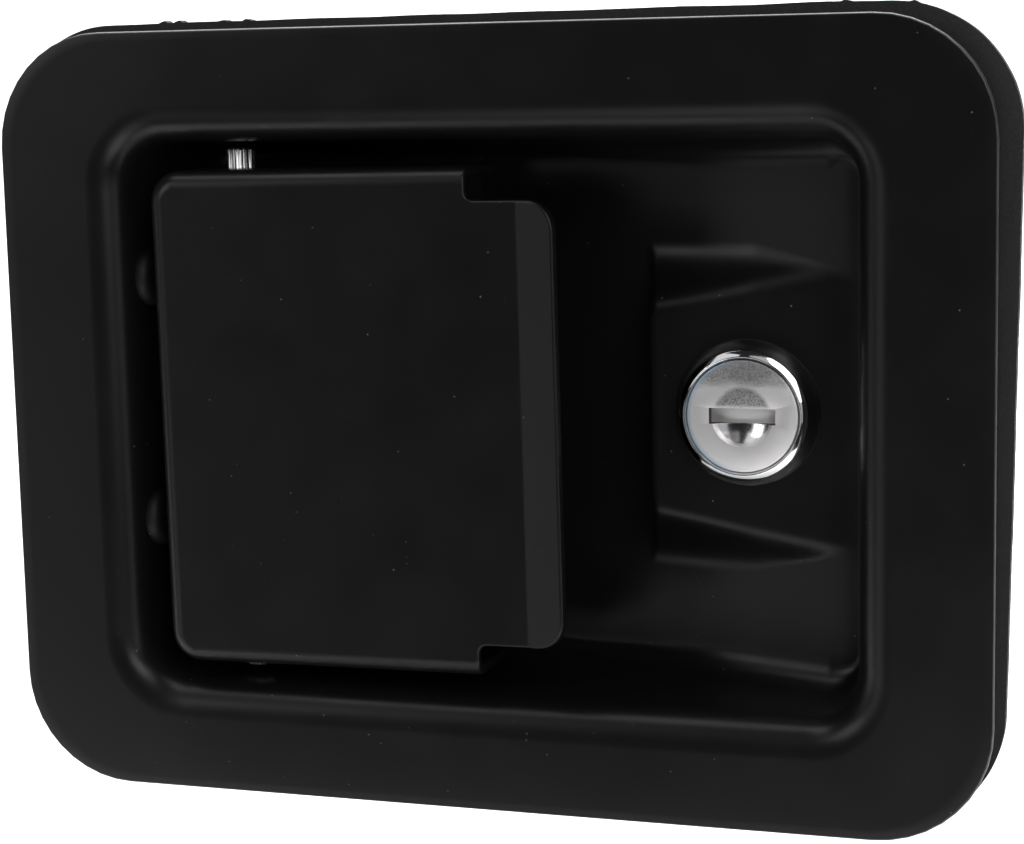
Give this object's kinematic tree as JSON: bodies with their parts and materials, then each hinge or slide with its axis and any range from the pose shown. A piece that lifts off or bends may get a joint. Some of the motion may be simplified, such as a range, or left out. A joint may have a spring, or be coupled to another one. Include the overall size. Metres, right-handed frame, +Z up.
{
  "type": "paddle latch",
  "caption": "Flush paddle latch for a compartment door: a black pressed pan with a pull paddle, a recessed key lock and a spring bolt behind it.",
  "frame": {"origin": "centre of the four mounting studs, on the gasket's back face where it meets the door panel", "axes": "+X to the right and +Z up as seen from in front, +Y into the door along the studs"},
  "size_m": [0.1515, 0.0423, 0.1104],
  "materials": {
    "pan_paint": "satin black powder coat",
    "paddle_paint": "satin black powder coat",
    "foam": "matte black closed-cell foam",
    "zinc_plate": "bright zinc plate",
    "pin_steel": "bright steel rod",
    "spring_steel": "zinc-plated spring wire",
    "bolt_steel": "zinc-plated steel, ground bevel",
    "lock_chrome": "polished chrome plate",
    "satin_nickel": "satin nickel plate",
    "lock_brass": "machined brass"
  },
  "bodies": {
    "pan": {"face_pan": "pan_paint", "gasket": "foam", "mounting_studs": "zinc_plate", "pivot_bracket": "zinc_plate", "bolt_bracket": "zinc_plate", "bracket_rivets": "zinc_plate", "spring_guide": "pin_steel", "lock_housing": "lock_chrome", "lock_washer": "zinc_plate", "lock_nut": "zinc_plate", "paddle_spring": "spring_steel", "bolt_spring": "spring_steel"},
    "paddle": {"paddle": "paddle_paint", "drive_lever": "zinc_plate", "hinge_pin": "pin_steel"},
    "bolt": {"latch_bolt": "bolt_steel"},
    "plug": {"lock_plug": "lock_brass", "plug_cap": "satin_nickel", "lock_cam": "zinc_plate", "cam_washer": "zinc_plate", "cam_screw": "zinc_plate"},
    "shutter": {"dust_shutter": "satin_nickel"},
    "wafer_1": {"wafer_1": "lock_brass"},
    "wafer_2": {"wafer_2": "lock_brass"},
    "wafer_3": {"wafer_3": "lock_brass"},
    "wafer_4": {"wafer_4": "lock_brass"},
    "wafer_5": {"wafer_5": "lock_brass"}
  },
  "joints": [
    {"name": "paddle_hinge", "type": "hinge", "parent": "pan", "child": "paddle", "pos_m": [-0.0366, 0.0041, 0], "axis": [0, 0, -1], "range_deg": [0, 32], "stiffness_Nm_per_rad": 0.5, "springref_deg": -34.38, "deforming": ["paddle_spring"]},
    {"name": "bolt_slide", "type": "slide", "parent": "pan", "child": "bolt", "axis": [1, 0, 0], "range_m": [0, 0.01326], "deforming": ["bolt_spring"]},
    {"name": "lock_turn", "type": "hinge", "parent": "pan", "child": "plug", "pos_m": [0.0345, 0.02, 0.0004], "axis": [0, -1, 0], "range_deg": [-90, 0]},
    {"name": "shutter_hinge", "type": "hinge", "parent": "plug", "child": "shutter", "pos_m": [0.0345, 0.0097, 0.0026], "axis": [1, 0, 0], "range_deg": [0, 80], "stiffness_Nm_per_rad": 0.0002, "springref_deg": -28.65},
    {"name": "wafer_1_slide", "type": "slide", "parent": "plug", "child": "wafer_1", "axis": [1, 0, 0], "range_m": [0, 0.0008]},
    {"name": "wafer_2_slide", "type": "slide", "parent": "plug", "child": "wafer_2", "axis": [-1, 0, 0], "range_m": [0, 0.0008]},
    {"name": "wafer_3_slide", "type": "slide", "parent": "plug", "child": "wafer_3", "axis": [1, 0, 0], "range_m": [0, 0.0008]},
    {"name": "wafer_4_slide", "type": "slide", "parent": "plug", "child": "wafer_4", "axis": [-1, 0, 0], "range_m": [0, 0.0008]},
    {"name": "wafer_5_slide", "type": "slide", "parent": "plug", "child": "wafer_5", "axis": [1, 0, 0], "range_m": [0, 0.0008]}
  ],
  "couplings": [
    {"joint": "bolt_slide", "follows": "paddle_hinge", "m_per_rad": 0.02372}
  ]
}
